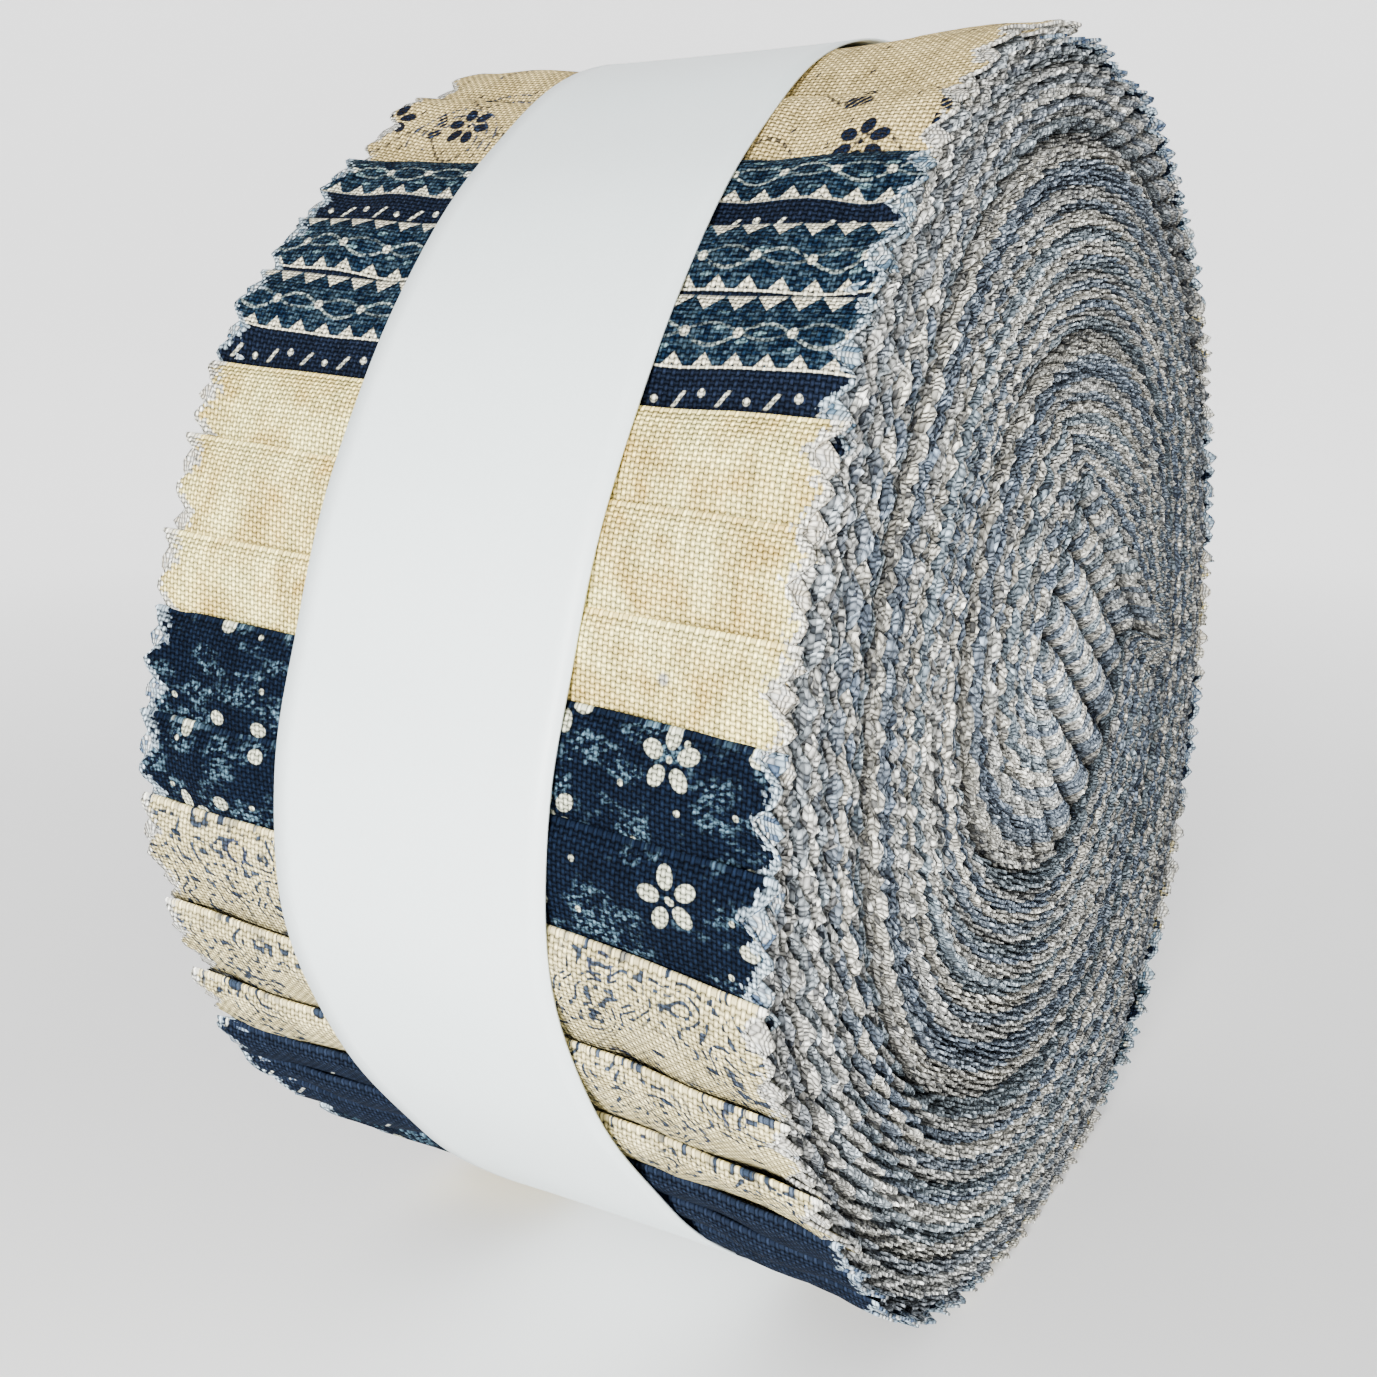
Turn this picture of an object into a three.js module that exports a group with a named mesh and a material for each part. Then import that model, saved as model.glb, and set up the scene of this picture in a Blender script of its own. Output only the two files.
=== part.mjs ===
// A roll of forty precut quilting strips, wound from its middle and held by a plain paper band.
// The roll stands on its rim. X runs along its axis, Z is up, and the surface is at Z = 0.
import * as THREE from 'three';

// Driving dimensions, in millimetres
const STRIP_WIDTH = 63.5;
const AXIS_HEIGHT = 57.3;
const TOOTH_PITCH = 4.85;
const TOOTH_DEPTH = 2.4;
const TOOTH_ROOT = 1.0;
const RIM_LAYER = 1.3;
const STACK_THICKNESS = 22;
const CORE_LOOSENESS = 5;
const CORE_STRAIGHT = 15;
const CORE_RIDGE_DEPTH = 2.6;
const CORE_TIP_SINK = 0.5;
const FACE_SINK = 0.9;
const TURN_GROOVE = 1.4;
const BAND_WIDTH = 27.4;
const BAND_THICKNESS = 1.0;
const BAND_GAP = 0.35;

// Driving proportions and angles. Angles are in degrees, from the rear (+Y) over the top (+Z)
// to the front (-Y), so the roll rests at 270. The stack winds outwards the other way round.
const STRIP_COUNT = 40;
const FOLD_STEP_ANGLE = 0.3;
const CORE_DIRECTION = 57;
const CORE_BEND_TURN = 142;
const CORE_LOOSE_TURN = 75;
const RIDGE_LEAN = 0.4;
const BAND_COLUMNS = 96;

// The first bend of the stack: its middle, measured from the roll's axis
const BEND_MIDDLE = { y: -6.1, z: 6.4 };

// The out-of-round outline of each end: it has settled on the surface and bulges beside it
const OUTLINE = [
  { angle: 0, near: 60.2, far: 60.4 },
  { angle: 20, near: 60.5, far: 60.6 },
  { angle: 40, near: 61.0, far: 61.0 },
  { angle: 60, near: 61.2, far: 61.2 },
  { angle: 75, near: 61.4, far: 61.6 },
  { angle: 90, near: 62.3, far: 62.6 },
  { angle: 106, near: 63.2, far: 63.2 },
  { angle: 122, near: 62.0, far: 61.2 },
  { angle: 140, near: 60.8, far: 60.5 },
  { angle: 155, near: 60.3, far: 60.5 },
  { angle: 168, near: 60.2, far: 60.4 },
  { angle: 180, near: 61.6, far: 61.9 },
  { angle: 192, near: 63.2, far: 62.3 },
  { angle: 206, near: 61.5, far: 62.0 },
  { angle: 218, near: 60.6, far: 60.8 },
  { angle: 232, near: 61.0, far: 59.4 },
  { angle: 250, near: 60.6, far: 60.2 },
  { angle: 270, near: 60.2, far: 60.2 },
  { angle: 290, near: 60.9, far: 60.8 },
  { angle: 306, near: 63.2, far: 62.6 },
  { angle: 318, near: 62.3, far: 62.0 },
  { angle: 338, near: 60.9, far: 60.9 },
];

// The folded strip ends in the order they stand round the rim: the angle of each fold at both
// edges, and how far it stands out over the strip before it
const FOLDS = [
  { near: 95, far: 90, step: 1.2 },
  { near: 106.5, far: 100, step: 1.3 },
  { near: 119, far: 110, step: 1.2 },
  { near: 127.5, far: 121.5, step: 1.0 },
  { near: 134.8, far: 130.3, step: 0.8 },
  { near: 141.5, far: 137, step: 0.8 },
  { near: 150.8, far: 146.8, step: 0.7 },
  { near: 158.3, far: 153.5, step: 0.6 },
  { near: 166, far: 161.8, step: 0.6 },
  { near: 173, far: 168.2, step: 0.8 },
  { near: 181, far: 176.8, step: 0.9 },
  { near: 189.5, far: 183.8, step: 1.1 },
  { near: 199.5, far: 193.3, step: 1.3 },
  { near: 208.5, far: 200.8, step: 1.3 },
  { near: 215.5, far: 206.7, step: 1.1 },
  { near: 221.5, far: 211.6, step: 0.9 },
  { near: 227.5, far: 216.5, step: 0.9 },
];
const NEXT_FOLD_ANGLE = 8.2;
const NEXT_FOLD_STEP = 0.9;

// Rows of the wall from the far edge to the near one: how far the band draws each one in, and
// how high above the surface it stays where the roll rests
const WALL_ROWS = [
  { x: -28.2, drawn: 0.2, floor: 0 },
  { x: -21.5, drawn: 0.8, floor: 0 },
  { x: -16.8, drawn: 1.75, floor: 1.35 },
  { x: -1, drawn: 1.85, floor: 1.35 },
  { x: 15.4, drawn: 1.75, floor: 1.35 },
  { x: 20.5, drawn: 0.9, floor: 0 },
  { x: 28.2, drawn: 0.2, floor: 0 },
];
const BAND_SEAT = 1.75;

// Where the band's middle line runs, as it wanders round the roll
const BAND_PATH = [
  { angle: 0, middle: -0.4 },
  { angle: 60, middle: -0.6 },
  { angle: 101, middle: -0.3 },
  { angle: 145, middle: 0.7 },
  { angle: 170, middle: -0.9 },
  { angle: 187, middle: -1.7 },
  { angle: 203, middle: -1.1 },
  { angle: 216, middle: 0.2 },
  { angle: 270, middle: -0.2 },
  { angle: 320, middle: 0.3 },
];

// Rings of an end face from its rim inwards. A share runs from 0 at the core to 1 at the rim.
const FACE_RINGS = [
  { share: 0.88, points: 112 },
  { share: 0.74, points: 96 },
  { share: 0.61, points: 84 },
  { share: 0.48, points: 72 },
  { share: 0.35, points: 64 },
  { share: 0.22, points: 60 },
  { share: 0.1, points: 56 },
  { share: 0, points: 54 },
];

// How far the innermost ring stands from the axis, just outside the core
const CORE_REACH = [
  { angle: 8, reach: 23.8 },
  { angle: 30, reach: 24.8 },
  { angle: 50, reach: 25.2 },
  { angle: 70, reach: 23.8 },
  { angle: 84, reach: 21.4 },
  { angle: 100, reach: 16 },
  { angle: 115, reach: 13.5 },
  { angle: 131, reach: 14 },
  { angle: 143, reach: 20.8 },
  { angle: 156, reach: 26 },
  { angle: 170, reach: 30 },
  { angle: 183, reach: 30 },
  { angle: 199, reach: 26.4 },
  { angle: 221, reach: 22 },
  { angle: 237, reach: 20.4 },
  { angle: 256, reach: 19.4 },
  { angle: 280, reach: 19.4 },
  { angle: 304, reach: 20 },
  { angle: 322, reach: 21.4 },
  { angle: 345, reach: 23.4 },
];

// The seam where one turn of the stack lies on the turn before: its distance from the axis by how
// far it has turned outwards from the rear
const TURN_SEAM = [
  { turned: -8, radius: 21.6 },
  { turned: 30, radius: 18.9 },
  { turned: 56, radius: 16.5 },
  { turned: 104, radius: 17.3 },
  { turned: 139, radius: 20 },
  { turned: 161, radius: 24.2 },
  { turned: 187, radius: 28.2 },
  { turned: 217, radius: 30.7 },
  { turned: 253, radius: 34.1 },
  { turned: 300, radius: 38.5 },
  { turned: 332, radius: 41.8 },
  { turned: 358, radius: 40 },
  { turned: 388, radius: 38.7 },
  { turned: 444, radius: 38.1 },
  { turned: 485, radius: 40.1 },
  { turned: 517, radius: 45.1 },
  { turned: 554, radius: 47.1 },
  { turned: 584, radius: 48.5 },
  { turned: 606, radius: 52.5 },
  { turned: 680, radius: 56.5 },
  { turned: 757, radius: 60 },
  { turned: 790, radius: 61.5 },
  { turned: 1150, radius: 82 },
];

const halfWidth = STRIP_WIDTH / 2;
const lerp = THREE.MathUtils.lerp;
const clamp = THREE.MathUtils.clamp;
const radians = THREE.MathUtils.degToRad;

// A smooth closed curve through one column of a table of angles
function aroundTable(table, column, angle) {
  const wrapped = ((angle % 360) + 360) % 360;
  const count = table.length;
  let next = table.findIndex((row) => row.angle > wrapped);
  if (next < 0) next = count;
  const at = (index) => table[((index % count) + count) % count];
  const turned = (index) => at(index).angle + 360 * Math.floor(index / count);
  const start = turned(next - 1);
  const t = (wrapped - start) / (turned(next) - start);
  const [a, b, c, d] = [next - 2, next - 1, next, next + 1].map((index) => at(index)[column]);
  const slopeIn = (c - a) / 2;
  const slopeOut = (d - b) / 2;
  const bend = 2 * b - 2 * c + slopeIn + slopeOut;
  const lean = 3 * c - 3 * b - 2 * slopeIn - slopeOut;
  return ((bend * t + lean) * t + slopeIn) * t + b;
}

function outlineRadius(angle, x) {
  const alongWidth = clamp((x + halfWidth) / STRIP_WIDTH, 0, 1);
  const near = aroundTable(OUTLINE, 'near', angle);
  const far = aroundTable(OUTLINE, 'far', angle);
  return lerp(far, near, alongWidth);
}

// A point at an angle and radius round the axis, kept above a level where the roll rests
function pointOnRoll(x, angle, radius, floor = 0) {
  const y = radius * Math.cos(radians(angle));
  const z = AXIS_HEIGHT + radius * Math.sin(radians(angle));
  return new THREE.Vector3(x, y, Math.max(z, floor));
}

// Points and triangles of one closed solid, built up loop by loop along the axis
class SolidBuilder {
  constructor() {
    this.points = [];
    this.triangles = [];
  }

  add(point) {
    this.points.push(point);
    return this.points.length - 1;
  }

  // A closed loop of points, each with its place round the axis as an angle that only grows
  loop(points, places) {
    return { indices: points.map((point) => this.add(point)), places };
  }

  // The same loop with each place measured from where its point really lies
  placedByAngle(loop) {
    const placed = loop.indices.map((index) => {
      const point = this.points[index];
      const angle = THREE.MathUtils.radToDeg(Math.atan2(point.z - AXIS_HEIGHT, point.y));
      return { index, place: (angle + 360) % 360 };
    });
    const lowest = placed.reduce((best, item, at) => (item.place < placed[best].place ? at : best), 0);
    const turned = placed.slice(lowest).concat(placed.slice(0, lowest));
    return { indices: turned.map((item) => item.index), places: turned.map((item) => item.place) };
  }

  // Fills the strip between two loops that run the same way round
  join(first, second) {
    const place = (loop, step) => loop.places[step % loop.places.length]
      + 360 * Math.floor(step / loop.places.length);
    const index = (loop, step) => loop.indices[step % loop.indices.length];
    let a = 0;
    let b = 0;
    while (a < first.indices.length || b < second.indices.length) {
      const stepFirst = b >= second.indices.length
        || (a < first.indices.length && place(first, a + 1) <= place(second, b + 1));
      if (stepFirst) {
        this.triangles.push([index(first, a), index(first, a + 1), index(second, b)]);
        a += 1;
      } else {
        this.triangles.push([index(first, a), index(second, b + 1), index(second, b)]);
        b += 1;
      }
    }
  }

  joinInTurn(loops) {
    for (let step = 0; step + 1 < loops.length; step += 1) this.join(loops[step], loops[step + 1]);
  }

  mesh(name, material) {
    const geometry = new THREE.BufferGeometry();
    const positions = this.points.flatMap((point) => [point.x, point.y, point.z]);
    geometry.setAttribute('position', new THREE.Float32BufferAttribute(positions, 3));
    geometry.setIndex(this.triangles.flat());
    geometry.computeVertexNormals();
    const mesh = new THREE.Mesh(geometry, material);
    mesh.name = name;
    return mesh;
  }
}

// The strips round the rim: each shows from its own fold to the fold of the next one
function stripSpans() {
  const folds = [...FOLDS];
  while (folds.length < STRIP_COUNT) {
    const last = folds[folds.length - 1];
    folds.push({
      near: last.near + NEXT_FOLD_ANGLE,
      far: last.far + NEXT_FOLD_ANGLE,
      step: NEXT_FOLD_STEP,
    });
  }
  const after = (index) => (index + 1 < STRIP_COUNT ? folds[index + 1] : {
    ...folds[0],
    near: folds[0].near + 360,
    far: folds[0].far + 360,
  });
  return folds.map((start, index) => ({ start, end: after(index) }));
}

// How far the cloth stands in along a strip: it rolls up over its own fold, stands full, and
// goes down under the fold of the next one, which is given as that fold's step
function stripDip(along, ownStep, nextStep) {
  const fold = 0.45 * (1 - Math.sin(Math.min(along / 0.2, 1) * Math.PI / 2));
  const under = Math.max((along - 0.25) / 0.75, 0) ** 1.6;
  return fold * ownStep + under * nextStep;
}

// The columns of the wall. Each edge has a tooth tip at every second column of a strip.
function wallColumns() {
  const columns = [];
  for (const { start, end } of stripSpans()) {
    const length = radians(end.near - start.near) * outlineRadius(end.near, 0);
    const teeth = Math.max(2, Math.round(length / TOOTH_PITCH));
    for (let step = 0; step <= 2 * teeth; step += 1) {
      const along = step / (2 * teeth);
      const foldShift = step === 0 ? FOLD_STEP_ANGLE : 0;
      columns.push({
        near: lerp(start.near, end.near, along) + foldShift,
        far: lerp(start.far, end.far, along) + foldShift,
        dip: stripDip(along, start.step, end.step),
        tip: step % 2 === 1,
      });
    }
  }
  return columns;
}

function wallPoint(column, x, drawn, floor) {
  const angle = lerp(column.far, column.near, (x + halfWidth) / STRIP_WIDTH);
  const radius = outlineRadius(angle, x) - drawn - column.dip;
  return pointOnRoll(x, angle, radius, floor);
}

// One pinked edge: tips reach the roll's end and the cuts between them go in by a tooth's depth
function edgeLoop(solid, columns, side) {
  const points = columns.map((column) => {
    const x = side * (halfWidth - (column.tip ? 0 : TOOTH_DEPTH));
    return wallPoint(column, x, 0, 0);
  });
  return solid.loop(points, columns.map((column) => column.near));
}

// The next layer in, whose teeth stand between those of the outermost one
function secondEdgeLoop(solid, columns, side) {
  const points = columns.map((column) => {
    const x = side * (halfWidth - TOOTH_ROOT - (column.tip ? TOOTH_DEPTH - TOOTH_ROOT : 0));
    const point = wallPoint(column, x, 0, 0);
    const fromAxis = new THREE.Vector3(0, point.y, point.z - AXIS_HEIGHT);
    fromAxis.setLength(fromAxis.length() - RIM_LAYER);
    return new THREE.Vector3(x, fromAxis.y, fromAxis.z + AXIS_HEIGHT);
  });
  return solid.loop(points, columns.map((column) => column.near));
}

// The rings take the core's outline inside and the roll's at the rim
function ringRadius(share, angle, side) {
  const core = aroundTable(CORE_REACH, 'reach', angle);
  return lerp(core, outlineRadius(angle, side * halfWidth), share);
}

function seamRadius(turned) {
  const next = clamp(TURN_SEAM.findIndex((row) => row.turned > turned), 1, TURN_SEAM.length - 1);
  const [a, b] = [TURN_SEAM[next - 1], TURN_SEAM[next]];
  return lerp(a.radius, b.radius, clamp((turned - a.turned) / (b.turned - a.turned), 0, 1));
}

// How deep an end face lies. Each seam between two turns of the stack is a soft groove.
function faceSink(radius, angle) {
  let turned = -angle;
  while (seamRadius(turned + 360) < radius) turned += 360;
  const inner = seamRadius(turned);
  const across = (radius - inner) / Math.max(seamRadius(turned + 360) - inner, 1);
  return FACE_SINK + TURN_GROOVE * (0.5 + 0.5 * Math.cos(2 * Math.PI * across));
}

function faceLoop(solid, ring, side) {
  const angles = Array.from({ length: ring.points }, (unused, step) => 360 * step / ring.points);
  const points = angles.map((angle) => {
    const radius = ringRadius(ring.share, angle, side);
    const x = side * (halfWidth - faceSink(radius, angle));
    const level = (1 - ring.share) * RIM_LAYER;
    return pointOnRoll(x, angle, radius, level);
  });
  return solid.loop(points, angles);
}

// A point of the core by its depth in the stack, from 0 on the inside of the first bend to 1,
// and by its place along it: millimetres before the bend, or else degrees round the bend
function corePoint(depth, before, turned) {
  const ahead = radians(CORE_DIRECTION);
  const loose = CORE_LOOSENESS * Math.max(1 - turned / CORE_LOOSE_TURN, 0) - 0.15 * before;
  const reach = depth * (STACK_THICKNESS + loose);
  const lean = 1 + RIDGE_LEAN * (1 - depth);
  const outwards = ahead - Math.PI / 2 - radians(turned * lean);
  return {
    y: BEND_MIDDLE.y + before * Math.cos(ahead) + reach * Math.cos(outwards),
    z: BEND_MIDDLE.z + before * Math.sin(ahead) + reach * Math.sin(outwards),
  };
}

// The straight core of the stack and its first bend, where the pinked teeth line up as ridges
function addCore(solid, side) {
  const step = TOOTH_PITCH / 2;
  const turnStep = THREE.MathUtils.radToDeg(step / (STACK_THICKNESS + CORE_LOOSENESS / 3));
  const columns = [];
  for (let before = CORE_STRAIGHT; before > 0; before -= step) columns.push({ before, turned: 0 });
  for (let turned = 0; turned <= CORE_BEND_TURN; turned += turnStep) {
    columns.push({ before: 0, turned });
  }
  const depths = [1, 0.72, 0.45, 0.22];
  const place = (point, sink) => solid.add(
    new THREE.Vector3(side * (halfWidth - sink), point.y, AXIS_HEIGHT + point.z),
  );
  const grid = columns.map(({ before, turned }, index) => {
    const sink = CORE_TIP_SINK + (index % 2 ? 0 : CORE_RIDGE_DEPTH);
    return depths.map((depth) => place(corePoint(depth, before, turned), sink));
  });
  const meanSink = CORE_TIP_SINK + CORE_RIDGE_DEPTH / 2;
  const middle = place(corePoint(0, 0, 0), meanSink);
  const inner = columns.map(({ before }) => (
    before > 0 ? place(corePoint(0, before, 0), meanSink) : middle
  ));
  const rows = grid.map((line, index) => [...line, inner[index]]);
  const face = (...corners) => {
    const distinct = corners.filter((corner, index) => corners.indexOf(corner) === index);
    for (let last = 2; last < distinct.length; last += 1) {
      const triangle = [distinct[0], distinct[last - 1], distinct[last]];
      solid.triangles.push(side > 0 ? triangle : triangle.reverse());
    }
  };
  for (let column = 0; column + 1 < rows.length; column += 1) {
    for (let row = 0; row < depths.length; row += 1) {
      const [a, b] = [rows[column], rows[column + 1]];
      face(a[row], a[row + 1], b[row + 1], b[row]);
    }
  }
  const last = rows[rows.length - 1];
  const straightInner = inner.filter((corner) => corner !== middle);
  const outline = [
    ...rows.map((line) => line[0]),
    ...last.slice(1),
    ...straightInner.reverse(),
    ...rows[0].slice(1, depths.length).reverse(),
  ];
  return solid.placedByAngle({ indices: outline.reverse() });
}

// The whole roll as one solid, from the far core over the wall to the near core
function makeStripRoll() {
  const solid = new SolidBuilder();
  const columns = wallColumns();
  const farEdge = edgeLoop(solid, columns, -1);
  const nearEdge = edgeLoop(solid, columns, 1);
  const rows = WALL_ROWS.map((row) => solid.loop(
    columns.map((column) => wallPoint(column, row.x, row.drawn, row.floor)),
    columns.map((column) => column.near),
  ));
  solid.joinInTurn([farEdge, ...rows, nearEdge]);

  for (const side of [-1, 1]) {
    const edge = side > 0 ? nearEdge : farEdge;
    const second = secondEdgeLoop(solid, columns, side);
    const rings = FACE_RINGS.map((ring) => faceLoop(solid, ring, side));
    const inward = [solid.placedByAngle(second), ...rings, addCore(solid, side)];
    solid.joinInTurn(side > 0 ? [edge, second] : [second, edge]);
    solid.joinInTurn(side > 0 ? inward : inward.reverse());
  }

  const cotton = new THREE.MeshStandardMaterial({ color: 0xb9b8ac, roughness: 0.95, metalness: 0 });
  return solid.mesh('strip_roll', cotton);
}

// The paper band: a closed ring that hugs the drawn-in middle of the roll
function makePaperBand() {
  const solid = new SolidBuilder();
  const angles = Array.from({ length: BAND_COLUMNS }, (unused, step) => 360 * step / BAND_COLUMNS);
  const corner = (edge, height) => solid.loop(angles.map((angle) => {
    const x = aroundTable(BAND_PATH, 'middle', angle) + edge * BAND_WIDTH / 2;
    const radius = outlineRadius(angle, 0) - BAND_SEAT + BAND_GAP + height;
    return pointOnRoll(x, angle, radius, BAND_THICKNESS - height);
  }), angles);
  const farOuter = corner(-1, BAND_THICKNESS);
  const nearOuter = corner(1, BAND_THICKNESS);
  const nearInner = corner(1, 0);
  const farInner = corner(-1, 0);
  solid.joinInTurn([farOuter, nearOuter, nearInner, farInner, farOuter]);
  const paper = new THREE.MeshStandardMaterial({ color: 0xdfe3e3, roughness: 0.55, metalness: 0 });
  return solid.mesh('paper_band', paper);
}

// Both pieces, set so that the roll rests midway over the origin
function makeRoll() {
  const group = new THREE.Group();
  group.add(makeStripRoll(), makePaperBand());
  const middle = new THREE.Box3().setFromObject(group).getCenter(new THREE.Vector3());
  for (const mesh of group.children) mesh.position.set(-middle.x, -middle.y, 0);
  return group;
}

export default makeRoll();
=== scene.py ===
import math
import bpy
import numpy as np
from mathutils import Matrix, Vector


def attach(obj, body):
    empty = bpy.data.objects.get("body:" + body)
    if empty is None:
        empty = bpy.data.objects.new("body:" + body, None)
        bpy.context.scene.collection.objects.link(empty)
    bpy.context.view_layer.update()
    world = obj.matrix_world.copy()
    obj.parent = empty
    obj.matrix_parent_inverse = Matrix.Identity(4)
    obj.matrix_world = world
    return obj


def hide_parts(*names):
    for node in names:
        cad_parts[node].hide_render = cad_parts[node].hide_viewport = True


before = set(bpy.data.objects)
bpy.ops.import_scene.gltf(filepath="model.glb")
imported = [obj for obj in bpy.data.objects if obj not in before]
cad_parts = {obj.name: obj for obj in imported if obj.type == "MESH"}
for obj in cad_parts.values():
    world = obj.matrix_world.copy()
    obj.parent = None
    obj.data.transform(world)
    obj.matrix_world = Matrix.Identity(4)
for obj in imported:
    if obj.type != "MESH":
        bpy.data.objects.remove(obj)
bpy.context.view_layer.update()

# Sizes in millimetres, the same as in the CAD part. The roll's axis runs along x.
STRIP_WIDTH = 63.5
HALF = STRIP_WIDTH / 2
MEAN_RADIUS = 61
AXIS_Y = 0.807
AXIS_Z = 57.3
TOOTH_PITCH = 4.85
TOOTH_DEPTH = 2.4
LEAF = 0.24
FOLD_RADIUS = 0.27
BAND_WIDTH = 27.4
BAND_SINK = 0.4
PAPER = 0.2
STRIP_COUNT = 40
TUCKED_UNDER = 2.2

# The roll's outline: radius at its near and far end by the angle round the axis.
# Angles run from the rear over the top to the side that faces the camera.
OUTLINE = [
    dict(angle=0, near=60.2, far=60.4),
    dict(angle=20, near=60.5, far=60.6),
    dict(angle=40, near=61, far=61),
    dict(angle=60, near=61.2, far=61.2),
    dict(angle=75, near=61.4, far=61.6),
    dict(angle=90, near=62.3, far=62.6),
    dict(angle=106, near=63.2, far=63.2),
    dict(angle=122, near=62, far=61.2),
    dict(angle=140, near=60.8, far=60.5),
    dict(angle=155, near=60.3, far=60.5),
    dict(angle=168, near=60.2, far=60.4),
    dict(angle=180, near=61.6, far=61.9),
    dict(angle=192, near=63.2, far=62.3),
    dict(angle=206, near=61.5, far=62),
    dict(angle=218, near=60.6, far=60.8),
    dict(angle=232, near=61, far=59.4),
    dict(angle=250, near=60.6, far=60.2),
    dict(angle=270, near=60.2, far=60.2),
    dict(angle=290, near=60.9, far=60.8),
    dict(angle=306, near=63.2, far=62.6),
    dict(angle=318, near=62.3, far=62),
    dict(angle=338, near=60.9, far=60.9),
]

# The folded strip ends that show, from the top down: the angle of each fold at the near and
# far end, how far it stands out over the strip before it, and its print
FOLDS = [
    dict(near=95, far=90, step=1.2, print="floral"),
    dict(near=106.5, far=100, step=1.3, print="floral"),
    dict(near=119, far=110, step=1.2, print="floral"),
    dict(near=127.5, far=121.5, step=1.0, print="border"),
    dict(near=134.8, far=130.3, step=0.8, print="border"),
    dict(near=141.5, far=137, step=0.8, print="border"),
    dict(near=150.8, far=146.8, step=0.7, print="cream"),
    dict(near=158.3, far=153.5, step=0.6, print="cream"),
    dict(near=166, far=161.8, step=0.6, print="cream"),
    dict(near=173, far=168.2, step=0.8, print="blossom"),
    dict(near=181, far=176.8, step=0.9, print="blossom"),
    dict(near=189.5, far=183.8, step=1.1, print="paisley"),
    dict(near=199.5, far=193.3, step=1.3, print="paisley"),
    dict(near=208.5, far=200.8, step=1.3, print="paisley"),
    dict(near=215.5, far=206.7, step=1.1, print="indigo"),
    dict(near=221.5, far=211.6, step=0.9, print="indigo"),
]

# The prints of the strips that the photograph doesn't show, in their order round the back
HIDDEN_PRINTS = [
    "indigo", "blossom", "blossom", "cream", "cream", "cream", "floral", "floral",
    "border", "border", "border", "paisley", "paisley", "indigo", "indigo", "cream",
    "cream", "blossom", "blossom", "paisley", "paisley", "border", "border", "indigo",
]

# The path of the paper band's middle across the rim, by the angle round the axis
BAND_PATH = [
    dict(angle=0, middle=-0.4),
    dict(angle=60, middle=-0.6),
    dict(angle=101, middle=-0.3),
    dict(angle=145, middle=0.7),
    dict(angle=170, middle=-0.9),
    dict(angle=187, middle=-1.7),
    dict(angle=203, middle=-1.1),
    dict(angle=216, middle=0.2),
    dict(angle=270, middle=-0.2),
    dict(angle=320, middle=0.3),
]

# The seam between the turns of the wound stack: its radius by the angle that it has turned
TURN_SEAM = [
    dict(turned=-20, radius=23), dict(turned=-8, radius=21.6), dict(turned=24, radius=19.6),
    dict(turned=30, radius=18.9), dict(turned=38, radius=18), dict(turned=56, radius=16.5),
    dict(turned=80, radius=17.3), dict(turned=104, radius=17.3), dict(turned=123, radius=18.4),
    dict(turned=139, radius=20), dict(turned=161, radius=24.2), dict(turned=173, radius=26.2),
    dict(turned=187, radius=28.2), dict(turned=203, radius=28.5), dict(turned=217, radius=30.7),
    dict(turned=234, radius=32.7), dict(turned=253, radius=34.1), dict(turned=275, radius=36),
    dict(turned=300, radius=38.5), dict(turned=320, radius=41), dict(turned=332, radius=41.8),
    dict(turned=346, radius=40.6), dict(turned=358, radius=40), dict(turned=374, radius=39),
    dict(turned=388, radius=38.7), dict(turned=411, radius=38.6), dict(turned=444, radius=38.1),
    dict(turned=465, radius=39.2), dict(turned=485, radius=40.1), dict(turned=501, radius=44.2),
    dict(turned=517, radius=45.1), dict(turned=531, radius=46.2), dict(turned=542, radius=47),
    dict(turned=554, radius=47.1), dict(turned=584, radius=48.5), dict(turned=595, radius=50.7),
    dict(turned=606, radius=52.5), dict(turned=680, radius=56.5), dict(turned=739, radius=59),
    dict(turned=757, radius=60), dict(turned=790, radius=61.5), dict(turned=1150, radius=82),
    dict(turned=1240, radius=86),
]

# The wound stack's core: the middle of its first bend, its direction and its straight length
BEND = np.array([-6.1, 6.4])
CORE_DIRECTION = 57
CORE_LENGTH = 19
TOOTH_LAG = 21.0


def unit(degrees):
    return np.array([np.cos(np.radians(degrees)), np.sin(np.radians(degrees))])


def around(table, column, angle):
    """A table's column as a smooth closed curve round the axis."""
    starts = np.array([row["angle"] for row in table], float)
    values = np.array([row[column] for row in table], float)
    wrapped = np.mod(np.asarray(angle, float), 360)
    at = np.searchsorted(starts, wrapped, side="right") - 1
    count = len(table)
    after = (at + 1) % count
    span = np.where(after == 0, starts[0] + 360 - starts[at], starts[after] - starts[at])
    t = (wrapped - starts[at]) / span
    a, b, c, d = [values[(at + step) % count] for step in (-1, 0, 1, 2)]
    slope_in = (c - a) / 2
    slope_out = (d - b) / 2
    bend = 2 * b - 2 * c + slope_in + slope_out
    lean = 3 * c - 3 * b - 2 * slope_in - slope_out
    return ((bend * t + lean) * t + slope_in) * t + b


def outline_radius(angle, x):
    across = np.clip((np.asarray(x, float) + HALF) / STRIP_WIDTH, 0, 1)
    near = around(OUTLINE, "near", angle)
    far = around(OUTLINE, "far", angle)
    return far + (near - far) * across


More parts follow.
